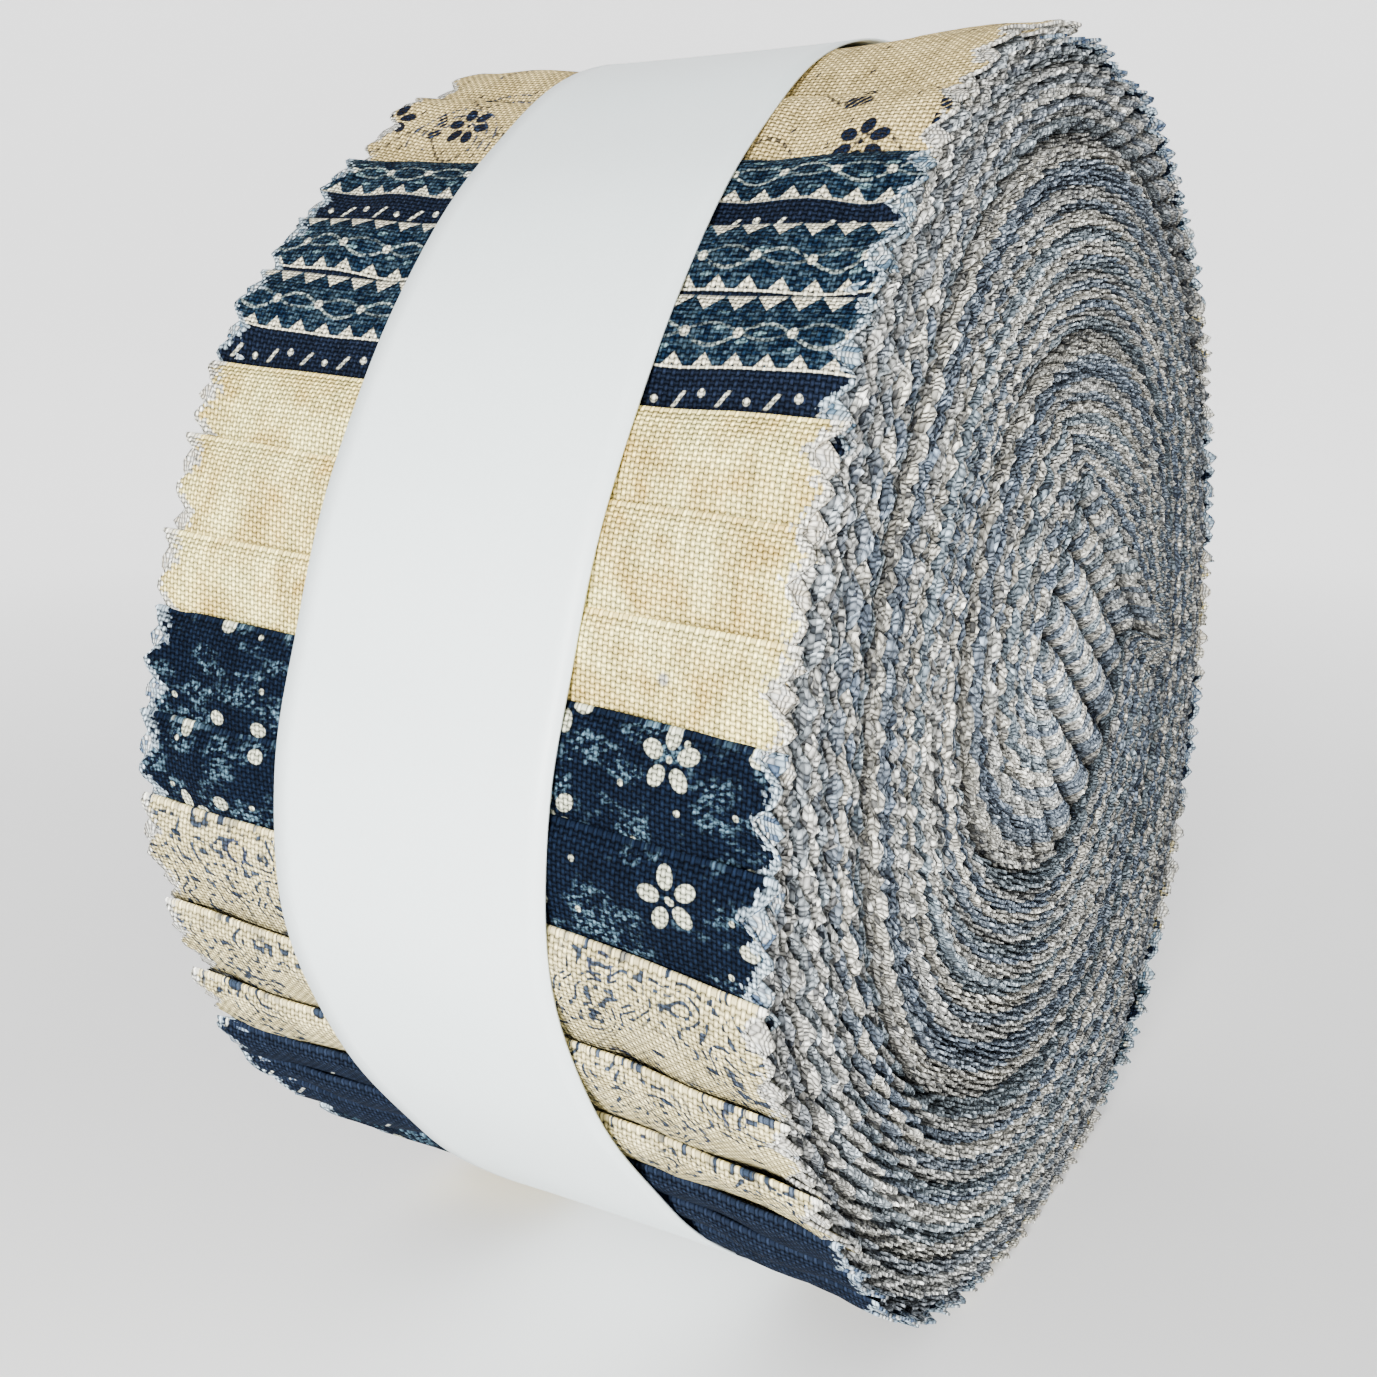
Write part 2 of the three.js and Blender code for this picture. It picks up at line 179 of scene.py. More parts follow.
# The strips that the photograph doesn't show follow at an even angle
HIDDEN_START = dict(near=227.5, far=216.5)
HIDDEN_ANGLE = 8.2
HIDDEN_STEP = 0.9
for index, name in enumerate(HIDDEN_PRINTS):
    near, far = [HIDDEN_START[end] + HIDDEN_ANGLE * index for end in ("near", "far")]
    FOLDS.append(dict(near=near, far=far, step=HIDDEN_STEP, print=name))
LAST = dict(FOLDS[0], near=FOLDS[0]["near"] + 360, far=FOLDS[0]["far"] + 360)
SPANS = list(zip(FOLDS, FOLDS[1:] + [LAST]))


def strip_dip(along, own_step, next_step):
    """How far the cloth stands in from the outline along a strip."""
    rise = 0.45 * (1 - np.sin(np.clip(along / 0.2, 0, 1) * np.pi / 2))
    under = np.clip((along - 0.25) / 0.75, 0, None) ** 1.6
    return rise * own_step + np.minimum(under, 1.25) * next_step


def rim_dip(angle, side):
    """The strips' dip at one end of the roll, by the angle round the axis."""
    key = "near" if side > 0 else "far"
    angle = np.mod(np.asarray(angle, float), 360)
    dip = np.zeros_like(angle)
    for start, end in SPANS:
        turned = np.mod(angle - start[key], 360)
        width = end[key] - start[key]
        inside = turned < width
        dip = np.where(inside, strip_dip(turned / width, start["step"], end["step"]), dip)
    return dip


def settled(z):
    """The roll's weight presses its lowest part flat on the floor."""
    return z + 3.25 * (np.clip(8 - z, 0, None) / 11.2) ** 2


def on_roll(x, angle, radius):
    """Points in the frame, in millimetres, from places on the roll."""
    y = AXIS_Y + radius * np.cos(np.radians(angle))
    z = settled(AXIS_Z + radius * np.sin(np.radians(angle)))
    return np.stack(np.broadcast_arrays(x, y, z), axis=-1)


def make_piece(name, points, faces, materials, uv=None, colours=None, values=None, smooth=True):
    """A mesh object from arrays: points in millimetres, quads, a UV and attributes per point."""
    mesh = bpy.data.meshes.new(name)
    mesh.vertices.add(len(points))
    mesh.vertices.foreach_set("co", (np.asarray(points) * 0.001).astype(np.float32).ravel())
    faces = np.asarray(faces, np.int32)
    mesh.loops.add(faces.size)
    mesh.loops.foreach_set("vertex_index", faces.ravel())
    mesh.polygons.add(len(faces))
    starts = np.arange(len(faces), dtype=np.int32) * faces.shape[1]
    mesh.polygons.foreach_set("loop_start", starts)
    mesh.polygons.foreach_set("use_smooth", np.full(len(faces), smooth))
    mesh.update(calc_edges=True)
    if uv is not None:
        layer = mesh.uv_layers.new(name="cloth")
        layer.data.foreach_set("uv", np.asarray(uv, np.float32)[faces.ravel()].ravel())
    if colours is not None:
        layer = mesh.attributes.new("thread", "FLOAT_COLOR", "POINT")
        full = np.concatenate([colours, np.ones((len(colours), 1))], axis=1)
        layer.data.foreach_set("color", full.astype(np.float32).ravel())
    for key, column in (values or {}).items():
        layer = mesh.attributes.new(key, "FLOAT", "POINT")
        layer.data.foreach_set("value", np.asarray(column, np.float32))
    for material in materials:
        mesh.materials.append(material)
    piece = bpy.data.objects.new(name, mesh)
    bpy.context.collection.objects.link(piece)
    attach(piece, "root")
    return piece


def grid_faces(rows, columns):
    index = np.arange(rows * columns).reshape(rows, columns)
    corners = [index[:-1, :-1], index[:-1, 1:], index[1:, 1:], index[1:, :-1]]
    return np.stack(corners, axis=-1).reshape(-1, 4)


def ring_faces(rings, count, closed=False):
    """Quads between neighbouring rings that have the same count of points."""
    faces = []
    for ring in range(rings if closed else rings - 1):
        low = ring * count
        high = (ring + 1) % rings * count
        for at in range(count):
            after = (at + 1) % count
            faces.append([low + at, high + at, high + after, low + after])
    return faces


def tooth(place):
    """How deep the pinked edge is cut at a place along it, from 0 at a tip to 1 at a root."""
    return np.abs(2 * np.mod(place / TOOTH_PITCH + 0.5, 1) - 1)


def drawn_in(x):
    """How far the paper band pulls the cloth in across the roll's width."""
    return np.interp(np.abs(x), [0, 16.8, 22, 28, HALF], [0.75, 0.75, 0.35, 0.2, 0.0])


# The strip ends on the rim. Each is one strip folded in half: an inner leaf, its fold, and
# an outer leaf that goes down under the fold of the next strip. Their points lie closest
# together at the cut edges: these are their places in millimetres from an edge.
COLUMN_PLACES = [
    0, 0.5, 1.1, 1.9, 2.9, 4.2, 5.8, 7.6, 9.6, 11.6, 13.6, 15.4, 17.4, 20, 23.5, 27.5,
]
FAR_COLUMNS = np.array(COLUMN_PLACES) - HALF
COLUMNS = np.concatenate([FAR_COLUMNS, [0], -FAR_COLUMNS[::-1]])


def soft_tooth(place, seed):
    """The depth of a frayed pinked edge: rounded teeth, each cut a little differently."""
    share = place / TOOTH_PITCH
    which = np.floor(share + 0.5)
    uneven = 0.92 + 0.20 * np.sin(which * 2.3 + seed * 1.9)
    round_wave = 0.5 - 0.5 * np.cos(2 * np.pi * share)
    return TOOTH_DEPTH * uneven * (0.35 * round_wave + 0.65 * tooth(place))


def make_strip(number, start, end, materials):
    rng = np.random.default_rng(100 + number)
    share = (COLUMNS + HALF) / STRIP_WIDTH
    own = start["far"] + (start["near"] - start["far"]) * share
    widening = end["near"] - end["far"] - start["near"] + start["far"]
    width = (end["far"] - start["far"]) + widening * share
    arc = np.radians(width) * MEAN_RADIUS
    reach = arc.max() + TUCKED_UNDER
    phase = dict(near=rng.uniform(0, TOOTH_PITCH), far=rng.uniform(-0.4, 0.4))
    lag = 0.42 * TOOTH_PITCH

    # Rows down the section: the inner leaf, the fold, and the outer leaf
    outer = np.unique(np.concatenate([[0, 0.3], np.arange(0.7, reach, 0.62)]))
    inner = np.arange(0.5, reach, 0.9)
    fold = np.radians([110, 145, 180, 215, 250])
    places = np.concatenate([inner[::-1], np.zeros(1 + len(fold)), outer])
    under = np.zeros(len(inner) + 1)
    over = np.zeros(len(outer))
    fold_lift = FOLD_RADIUS * (np.sin(fold[::-1]) - 1)
    lift = np.concatenate([under - 2 * FOLD_RADIUS, fold_lift, over])
    overhang = np.concatenate([under, FOLD_RADIUS * 1.25 * np.cos(fold[::-1]), over])
    leaf = np.concatenate([under, np.linspace(0.1, 0.9, len(fold)), over + 1])
    shift = np.where(leaf < 0.5, lag, 0)

    rows = len(places)
    columns = len(COLUMNS)
    place = np.repeat(places[:, None], columns, axis=1)
    x = np.repeat(COLUMNS[None, :], rows, axis=0)
    near_cut = soft_tooth(places + phase["near"] + shift, number)[:, None]
    far_cut = soft_tooth(places + phase["far"] + shift, number + 50)[:, None]
    wander = 0.25 * np.sin(place / 5.1 + number * 1.7) + 0.12 * np.sin(place / 1.9 + number)
    pull = np.clip((np.abs(x) - 23) / (HALF - 23), 0, 1) ** 1.4
    cut = np.where(x > 0, near_cut, far_cut) + 0.15 + 0.3 * rng.random() + 0.3 * wander
    ragged = rng.normal(0, 0.10, (rows, 1)) + rng.normal(0, 0.04, (rows, columns))
    bent = x - np.sign(x) * (cut + ragged) * pull

    angle = own[None, :] + np.degrees((place + overhang[:, None]) / MEAN_RADIUS)
    along = np.clip(place / np.maximum(arc[None, :], 1), 0, None)
    radius = outline_radius(angle, x) - drawn_in(x) - strip_dip(along, start["step"], end["step"])
    wave = (
        0.22 * np.sin(x / 3.1 + number * 2.1 + place / 5)
        + 0.09 * np.sin(x / 1.7 - place / 3.1 + number)
        + 0.18 * np.sin(x / 7 + number * 5 - place / 4)
    )
    flare = np.clip((np.abs(x) - 27) / 4.75, 0, 1) ** 2
    curl = 0.28 * flare * np.sin(place / 2.7 + number * 1.3 + np.sign(x))
    calm = 1 - 0.7 * (np.abs(x) < 16)
    radius = radius + lift[:, None] + (wave * calm + curl) * np.clip(along * 3, 0.35, 1)
    points = on_roll(bent, angle, radius)
    uv = np.stack([bent, place * np.where(leaf < 0.5, -1, 1)[:, None]], axis=-1)
    piece = make_piece(
        f"strip_{number + 1:02d}",
        points.reshape(-1, 3),
        grid_faces(rows, columns)[:, ::-1],
        materials,
        uv=uv.reshape(-1, 2),
        values=dict(
            edge=(HALF - np.abs(x)).ravel(),
            leaf=np.repeat(leaf, columns),
            along=along.ravel(),
            number=np.full(rows * columns, float(number)),
        ),
    )
    thick = piece.modifiers.new("leaf", "SOLIDIFY")
    thick.thickness = LEAF * 0.001
    thick.offset = -1
    thick.use_rim = True
    thick.material_offset = 1
    thick.material_offset_rim = 1
    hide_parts("strip_roll")


# The end faces show the cut edges of all the layers as they wind from the core to the rim.
# A turn goes along one side of the core, round its end, and back along the other side.
PHASES = 720
TURNS = 3
TURN_PARTS = [0, 0.1, 0.5, 0.6, 1]
TURN_THICKNESS = 22
SEAM_SPREAD = 1.6


def smoothed(values, half, spread):
    """Values along a line after a blur that leaves the line's ends in place."""
    kernel = np.exp(-0.5 * (np.arange(-half, half + 1) / spread) ** 2)
    padded = np.pad(values, half, mode="reflect", reflect_type="odd")
    return np.convolve(padded, kernel / kernel.sum(), mode="valid")


def stack_path():
    """The innermost and outermost line of the wound stack, its tooth places and its turn."""
    turned = np.arange(-20, 1239, 0.5)
    rows = [(row["turned"], row["radius"]) for row in TURN_SEAM]
    radius = smoothed(np.interp(turned, *zip(*rows)), 50, 16)
    seam = unit(-turned).T * radius[:, None]
    phase = np.arange(PHASES) / PHASES
    start_direction = CORE_DIRECTION - 90
    along = unit(CORE_DIRECTION)
    across = unit(CORE_DIRECTION + 90)

    def frame_at(at, thickness):
        if at < 0.1:
            return BEND + CORE_LENGTH * along * (1 - at / 0.1), start_direction
        if at < 0.5:
            return BEND, start_direction - 180 * (at - 0.1) / 0.4
        if at < 0.6:
            return BEND + CORE_LENGTH * along * (at - 0.5) / 0.1, start_direction + 180
        share = (at - 0.6) / 0.4
        far_end = BEND + CORE_LENGTH * along
        return far_end - thickness * across * share, start_direction + 180 - 180 * share

    def crossings(at, thickness):
        origin, direction = frame_at(at, thickness)
        ray = unit(direction)
        offset = seam - origin
        side = offset[:, 0] * ray[1] - offset[:, 1] * ray[0]
        ahead = offset @ ray
        hit = np.nonzero((side[:-1] * side[1:] <= 0) & (ahead[:-1] > 0))[0]
        expected = np.interp(at, TURN_PARTS, [-10, 26, 216, 246, 350])
        found = [0.0]
        for turn in range(TURNS + 1):
            gap = np.abs(turned[hit] - expected - 360 * turn)
            best = hit[np.argmin(gap)]
            mix = side[best] / (side[best] - side[best + 1])
            found.append(ahead[best] + mix * (ahead[best + 1] - ahead[best]))
        return origin, ray, found

    thickness = crossings(0.0, 24.0)[2][1]
    rows = [crossings(at, thickness) for at in phase]
    lines = []
    for edge in (0, 1):
        line = [
            origin + found[turn + edge] * ray
            for turn in range(TURNS)
            for origin, ray, found in rows
        ]
        lines.append(np.stack([smoothed(column, 24, 9) for column in np.array(line).T], axis=-1))
    inner, outer = lines
    steps = np.linalg.norm(np.diff(inner, axis=0), axis=1)
    place = np.concatenate([[0], np.cumsum(steps)])
    share = np.interp(phase, TURN_PARTS, [0, 0, 0.5, 0.5, 1])
    bend = 2 * np.pi * np.concatenate([turn + share for turn in range(TURNS)])
    return inner, outer, place, bend


# The prints of the strips in the order in which they follow each other through the stack
PRINT_OF_PLACE = [
    FOLDS[index]["print"]
    for index in sorted(range(STRIP_COUNT), key=lambda index: (FOLDS[index]["near"] + 70) % 360)
]

# Colours of a strip's cut edge, its printed side and its plain side, by its print
EDGE_COLOURS = {
    "cream": dict(cut=(0.80, 0.79, 0.72), face=(0.52, 0.49, 0.41), back=(0.64, 0.62, 0.55)),
    "floral": dict(cut=(0.74, 0.74, 0.69), face=(0.44, 0.42, 0.37), back=(0.58, 0.57, 0.53)),
    "paisley": dict(cut=(0.64, 0.65, 0.62), face=(0.32, 0.32, 0.30), back=(0.50, 0.50, 0.49)),
    "blossom": dict(cut=(0.34, 0.40, 0.47), face=(0.014, 0.026, 0.055), back=(0.19, 0.25, 0.33)),
    "border": dict(cut=(0.38, 0.45, 0.50), face=(0.020, 0.045, 0.075), back=(0.23, 0.30, 0.36)),
    "indigo": dict(cut=(0.27, 0.33, 0.41), face=(0.008, 0.017, 0.042), back=(0.13, 0.18, 0.26)),
}


# The cut edges fray at their top and turn paler towards the rim; painted shade darkens them towards the
# rear and painted light makes them lighter in the core
TOP_FRAY = 0.45
REAR_PAINTED_SHADE = 0.46
CORE_PAINTED_LIGHT = 0.6
RIM_WHITE = (0.84, 0.86, 0.86)


def room_behind(corner, back, line):
    """How far a layer can reach back from the core's end before it meets the turn around it."""
    ahead = line[1:] - line[:-1]
    offset = line[:-1] - corner
    cross = back[0] * ahead[:, 1] - back[1] * ahead[:, 0]
    cross = np.where(np.abs(cross) < 1e-9, 1e-9, cross)
    reach = (offset[:, 0] * ahead[:, 1] - offset[:, 1] * ahead[:, 0]) / cross
    along = (offset[:, 0] * back[1] - offset[:, 1] * back[0]) / cross
    met = reach[(reach > 0.3) & (along >= 0) & (along <= 1)]
    return min(met.min(), 16) if len(met) else 0.0


def reach_back(centre_line, line, thickness, inner, outer):
    """The layer's line with its free end at the core carried on, slightly curled, to that turn."""
    first = centre_line[1] - centre_line[0]
    first /= np.linalg.norm(first)
    nearest = [room_behind(centre_line[0], -first, edge[25:]) for edge in (inner, outer)]
    room = min([distance for distance in nearest if distance > 0] or [0]) - 0.25
    if room < 0.5:
        return centre_line, line, thickness
    steps = np.arange(room, 0.2, -0.4)[:, None]
    aside = np.array([-first[1], first[0]])
    added = centre_line[0] - first * steps + aside * 0.25 * np.sin(steps * 1.3)
    return (
        np.concatenate([added, centre_line]),
        np.concatenate([line[0] - steps[:, 0], line]),
        np.concatenate([np.full(len(steps), thickness[0]), thickness]),
    )


def face_ribbons(side, layers, samples, bare, path):
    """The layers' cut edges at one end: arrays of points, quads, UV and colours per layer."""
    inner, outer, place, bend = path
    per_strip = layers // STRIP_COUNT
    rng = np.random.default_rng(7 if side > 0 else 8)
    jitter = rng.uniform(-0.24, 0.24, STRIP_COUNT)
    jitter = jitter + np.repeat(rng.uniform(-0.2, 0.2, STRIP_COUNT // 2), 2)
    made = []
    for layer in range(layers):
        share = (layer + 0.5) / layers
        strip = layer // per_strip
        colours = EDGE_COLOURS[PRINT_OF_PLACE[strip]]
        cut, printed, plain = [np.array(colours[key]) for key in ("cut", "face", "back")]
        line = place + share * TOOTH_LAG * bend
        start = line[0]
        centre_line = inner + share * (outer - inner)
        thickness = np.linalg.norm(outer - inner, axis=1)
        centre_line, line, thickness = reach_back(centre_line, line, thickness, inner, outer)
        spots = (np.arange(-5, 400)[:, None] + np.array(samples)).ravel()
        spots = spots * TOOTH_PITCH + layer * 0.07
        spots = spots[(spots > line[0]) & (spots < line[-1])]
        y = np.interp(spots, line, centre_line[:, 0])
        z = np.interp(spots, line, centre_line[:, 1])
        gap = np.interp(spots, line, thickness) / layers
        tangent = np.stack([np.gradient(y), np.gradient(z)], axis=-1)
        tangent /= np.maximum(np.linalg.norm(tangent, axis=1, keepdims=True), 1e-6)
        normal = np.stack([-tangent[:, 1], tangent[:, 0]], axis=-1)
        centre = np.stack([y, z], axis=-1)
        radius = np.hypot(y, z)
        angle = np.degrees(np.arctan2(z, y))
        rim = outline_radius(angle, side * HALF) - rim_dip(angle, side) - 0.75
        shown = radius < rim

        seam = sum(
            np.exp(-(distance * TURN_THICKNESS / SEAM_SPREAD) ** 2)
            for distance in (share, 1 - share)
        )
        core = np.clip((16 - radius) / 5, 0, 1)
        reach = 1.5 + 1.3 * core
        sway = 0.17 * np.sin(spots / 9 + strip * 2.4) + 0.18 * np.sin(spots / 7 + layer * 0.35)
        proud = (jitter[strip] + sway) * (1 - 0.7 * core) * (1 - 0.4 * np.clip((y + 10) / 45, 0, 1))
        depth = 0.55 + reach * tooth(spots) ** (1.6 + 1.6 * core) + 0.9 * seam - proud
        rough = rng.normal(0, 0.16, len(spots)) * (1 - 0.5 * core)
        depth = depth + rough + 0.25 * np.clip(start - spots, 0, 4)
        depth = depth + 0.5 * np.clip((radius - 52) / 9, 0, 1)
        depth = np.clip(depth, 0.05, bare - 0.6)
        half = np.clip(gap * (0.40 + 0.25 * proud), 0.06, 0.3)[:, None]
        wobble = rng.normal(0, 0.06, (len(spots), 1))
        out = centre + normal * (half + wobble)
        back = centre - normal * (half - wobble)
        top = side * (HALF - depth)
        low = np.full(len(spots), side * (HALF - bare))
        profile = [(out, low), (out, top), (out, top), (back, top), (back, top), (back, low)]
        points = np.stack([
            np.stack([level, AXIS_Y + flat[:, 0], settled(AXIS_Z + flat[:, 1])], axis=-1)
            for flat, level in profile
        ], axis=1)
        outward = printed if per_strip == 1 or layer % 2 == 1 else plain
        inward = plain if per_strip == 2 and layer % 2 == 1 else printed
        outward_top, inward_top = [shade + (cut - shade) * TOP_FRAY for shade in (outward, inward)]
        shades = [outward, outward_top, cut, cut, inward_top, inward]
        paint = np.repeat(np.array(shades)[None, :, :], len(spots), axis=0)
        white = np.clip((radius - 51) / 7, 0, 1)[:, None, None] * 0.30
        paint = paint + (np.array(RIM_WHITE) - paint) * white
        # Painted shade: darker where a cut edge sits deep between the teeth and towards the rear side;
        # painted light makes the core lighter
        sunk_shade = np.clip((depth - 0.35) / 1.9, 0, 1)[:, None, None]
        shaded = (1 - REAR_PAINTED_SHADE * np.clip((y + 14) / 60, 0, 1)) * (1 + CORE_PAINTED_LIGHT * core)
        paint = paint * ((1 - 0.92 * sunk_shade) * shaded[:, None, None])
        height = np.stack([low, top, top, top, top, low], axis=1) * side
        height[:, 3:5] += 0.25
        uv = np.stack([np.repeat(spots[:, None], 6, axis=1), height + layer * 8.0], axis=-1)
        index = np.arange(len(spots) * 6).reshape(-1, 6)
        joined = shown[:-1] & shown[1:]
        quads = []
        for first in (0, 2, 4):
            corners = [index[:-1, first], index[1:, first], index[1:, first + 1], index[:-1, first + 1]]
            quads.append(np.stack(corners, axis=-1)[joined])
        quads = np.concatenate(quads)
        if side < 0:
            quads = quads[:, ::-1]
        made.append((points.reshape(-1, 3), quads, uv.reshape(-1, 2), paint.reshape(-1, 3)))
    return made


def join_ribbons(name, made, material):
    """One piece from the arrays of several layers, with unused points left out."""
    points, quads, uv, paint = zip(*made)
    starts = np.cumsum([0] + [len(part) for part in points])
    quads = np.concatenate([part + start for part, start in zip(quads, starts)])
    used = np.unique(quads)
    renumber = np.zeros(starts[-1], int)
    renumber[used] = np.arange(len(used))
    piece = make_piece(
        name,
        np.concatenate(points)[used],
        renumber[quads],
        [material],
        uv=np.concatenate(uv)[used],
        colours=np.concatenate(paint)[used],
        smooth=False,
    )
    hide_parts("strip_roll")


# The section of the roll's dark inside, from its far end to its middle: the place along the
# axis and how far it stays in from the outline
INSIDE = [
    dict(x=-27.4, inset=60),
    dict(x=-27.4, inset=40),
    dict(x=-27.4, inset=20),
    dict(x=-27.4, inset=2.9),
    dict(x=-14, inset=3.0),
    dict(x=0, inset=3.0),
]


def make_drum(material):
    """The inside of the roll behind the strips and the cut edges, coloured near-black as painted shade.
    """
    angles = np.arange(0, 360, 3.0)
    rings = []
    for row in INSIDE + [dict(row, x=-row["x"]) for row in INSIDE[-2::-1]]:
        radius = np.maximum(outline_radius(angles, row["x"]) - row["inset"], 0.4)
        rings.append(on_roll(row["x"], angles, radius))
    quads = np.array(ring_faces(len(rings), len(angles)))[:, [0, 3, 2, 1]]
    piece = make_piece("inner_layers", np.concatenate(rings), quads, [material])
    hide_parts("strip_roll")


def make_band(material):
    """The closed paper band, a thin strip of paper round the middle of the roll."""
    angles = np.arange(0, 360, 1.5)
    across = np.linspace(-0.5, 0.5, 15)
    middle = around(BAND_PATH, "middle", angles)
    outer = []
    inner = []
    for share in across:
        x = middle + share * BAND_WIDTH
        ripple = 0.05 * np.sin(np.radians(angles * 9) + share * 2)
        ripple = ripple + 0.04 * np.sin(np.radians(angles * 23))
        edge_lift = 0.10 * (2 * abs(share)) ** 3
        radius = outline_radius(angles, 0) - BAND_SINK + ripple + edge_lift - 0.05
        outer.append(on_roll(x, angles, radius))
        inner.append(on_roll(x, angles, radius - PAPER))
    rings = outer + inner[::-1]
    count = len(angles)
    uv = np.concatenate([
        np.stack([np.full(count, share * BAND_WIDTH), np.radians(angles) * MEAN_RADIUS], axis=-1)
        for share in list(across) + list(across[::-1])
    ])
    quads = ring_faces(len(rings), count, closed=True)
    piece = make_piece("paper_wrap", np.concatenate(rings), quads, [material], uv=uv)
    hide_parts("paper_band")


# The section of the floor and backdrop: distance from the middle and height, in metres
BACKDROP = [
    dict(out=0.25, up=0),
    dict(out=0.5, up=0),
    dict(out=0.75, up=0),
    dict(out=0.95, up=0.02),
    dict(out=1.15, up=0.09),
    dict(out=1.35, up=0.24),
    dict(out=1.5, up=0.5),
    dict(out=1.56, up=0.9),
    dict(out=1.58, up=1.4),
    dict(out=1.5, up=2.0),
]


def make_stage(material):
    """A pale floor that curves up into a backdrop all round."""
    turns = np.radians(np.arange(0, 360, 5))
    points = [(0, 0, 0)]
    for row in BACKDROP:
        out = row["out"]
        points += [(out * math.cos(turn), out * math.sin(turn), row["up"]) for turn in turns]
    count = len(turns)
    faces = [(0, 1 + at, 1 + (at + 1) % count) for at in range(count)]
    faces += [[1 + corner for corner in quad] for quad in ring_faces(len(BACKDROP), count)]
    mesh = bpy.data.meshes.new("floor")
    mesh.from_pydata(points, [], faces)
    mesh.polygons.foreach_set("use_smooth", [True] * len(faces))
    mesh.materials.append(material)
    floor = bpy.data.objects.new("floor", mesh)
    bpy.context.collection.objects.link(floor)


def area_light(name, place, size, power, colour=(1, 1, 1)):
    """A round light that points at the middle of the roll."""
    light = bpy.data.lights.new(name, "AREA")
    light.shape = "DISK"
    light.size = size
    light.energy = power
    light.color = colour
    lamp = bpy.data.objects.new(name, light)
    bpy.context.collection.objects.link(lamp)
    lamp.location = place
    aim = Vector((0, 0, 0.06)) - Vector(place)
    lamp.rotation_euler = aim.to_track_quat("-Z", "Y").to_euler()


# The camera's angles in degrees, its lens in millimetres and its place from the roll's axis
CAMERA_AZIMUTH = 30.99
CAMERA_ELEVATION = 12.38
CAMERA_LENS = 41.3
CAMERA_OFFSET = (0.07808, -0.15093, 0.03474)


def set_up_view():
    """The camera at the photograph's angle, a plain world and soft studio lights."""
    azimuth = math.radians(CAMERA_AZIMUTH)
    elevation = math.radians(CAMERA_ELEVATION)
    back = Vector((
        math.sin(azimuth) * math.cos(elevation),
        -math.cos(azimuth) * math.cos(elevation),
        math.sin(elevation),
    ))
    lens = bpy.data.cameras.new("camera")
    lens.lens = CAMERA_LENS
    lens.sensor_width = 36
    lens.clip_start = 0.005
    lens.clip_end = 20
    camera = bpy.data.objects.new("camera", lens)
    bpy.context.collection.objects.link(camera)
    x, y, z = CAMERA_OFFSET
    camera.location = (x, AXIS_Y * 0.001 + y, AXIS_Z * 0.001 + z)
    camera.rotation_euler = (-back).to_track_quat("-Z", "Y").to_euler()
    bpy.context.scene.camera = camera

    world = bpy.data.worlds.new("studio")
    world.use_nodes = True
    background = world.node_tree.nodes["Background"]
    background.inputs["Color"].default_value = (0.93, 0.96, 1.0, 1)
    background.inputs["Strength"].default_value = 0.15
    bpy.context.scene.world = world
    area_light("key", (0.10, -0.39, 0.10), 0.12, 4.3, (1.0, 0.99, 0.965))
    area_light("fill", (0.17, -0.22, 0.12), 0.12, 0.06, (0.95, 0.98, 1.0))
    area_light("rear", (-0.5, 0.7, 0.6), 0.7, 1.2)


def feed(tree, slot, value):
    """Set a node's input to a number or colour, or link it to what another node gives."""
    if isinstance(value, (int, float, tuple)):
        slot.default_value = value
    else:
        tree.links.new(value.socket if isinstance(value, Field) else value, slot)


class Field:
    """A number that a material's nodes work out at each point of a surface."""

    def __init__(self, tree, socket):
        self.tree = tree
        self.socket = socket

    def op(self, kind, *others, clamp=False):
        node = self.tree.nodes.new("ShaderNodeMath")
        node.operation = kind
        node.use_clamp = clamp
        for slot, value in zip(node.inputs, (self, *others)):
            feed(self.tree, slot, value)
        return Field(self.tree, node.outputs[0])

    def __add__(self, other):
        return self.op("ADD", other)

    def __sub__(self, other):
        return self.op("SUBTRACT", other)

    def __mul__(self, other):
        return self.op("MULTIPLY", other)

    def __truediv__(self, other):
        return self.op("DIVIDE", other)

    def __neg__(self):
        return self.op("MULTIPLY", -1.0)

    def wrap(self, period):
        return self.op("WRAP", period / 2, -period / 2)

    def cell(self, period):
        return self.op("MULTIPLY_ADD", 1 / period, 0.5).op("FLOOR")

    def ramp(self, gain, start):
        """The number times a gain from a start, kept between 0 and 1."""
        return self.op("MULTIPLY_ADD", gain, start, clamp=True)

    def below(self, limit, soft=0.12):
        return (-self + limit).ramp(1 / soft, 0.5)

    def above(self, limit, soft=0.12):
        return (self - limit).ramp(1 / soft, 0.5)

    def size(self):
        return self.op("ABSOLUTE")

    def most(self, other):
        return self.op("MAXIMUM", other)

    def least(self, other):
        return self.op("MINIMUM", other)


def length(x, y):
    return (x * x + y * y).op("SQRT")


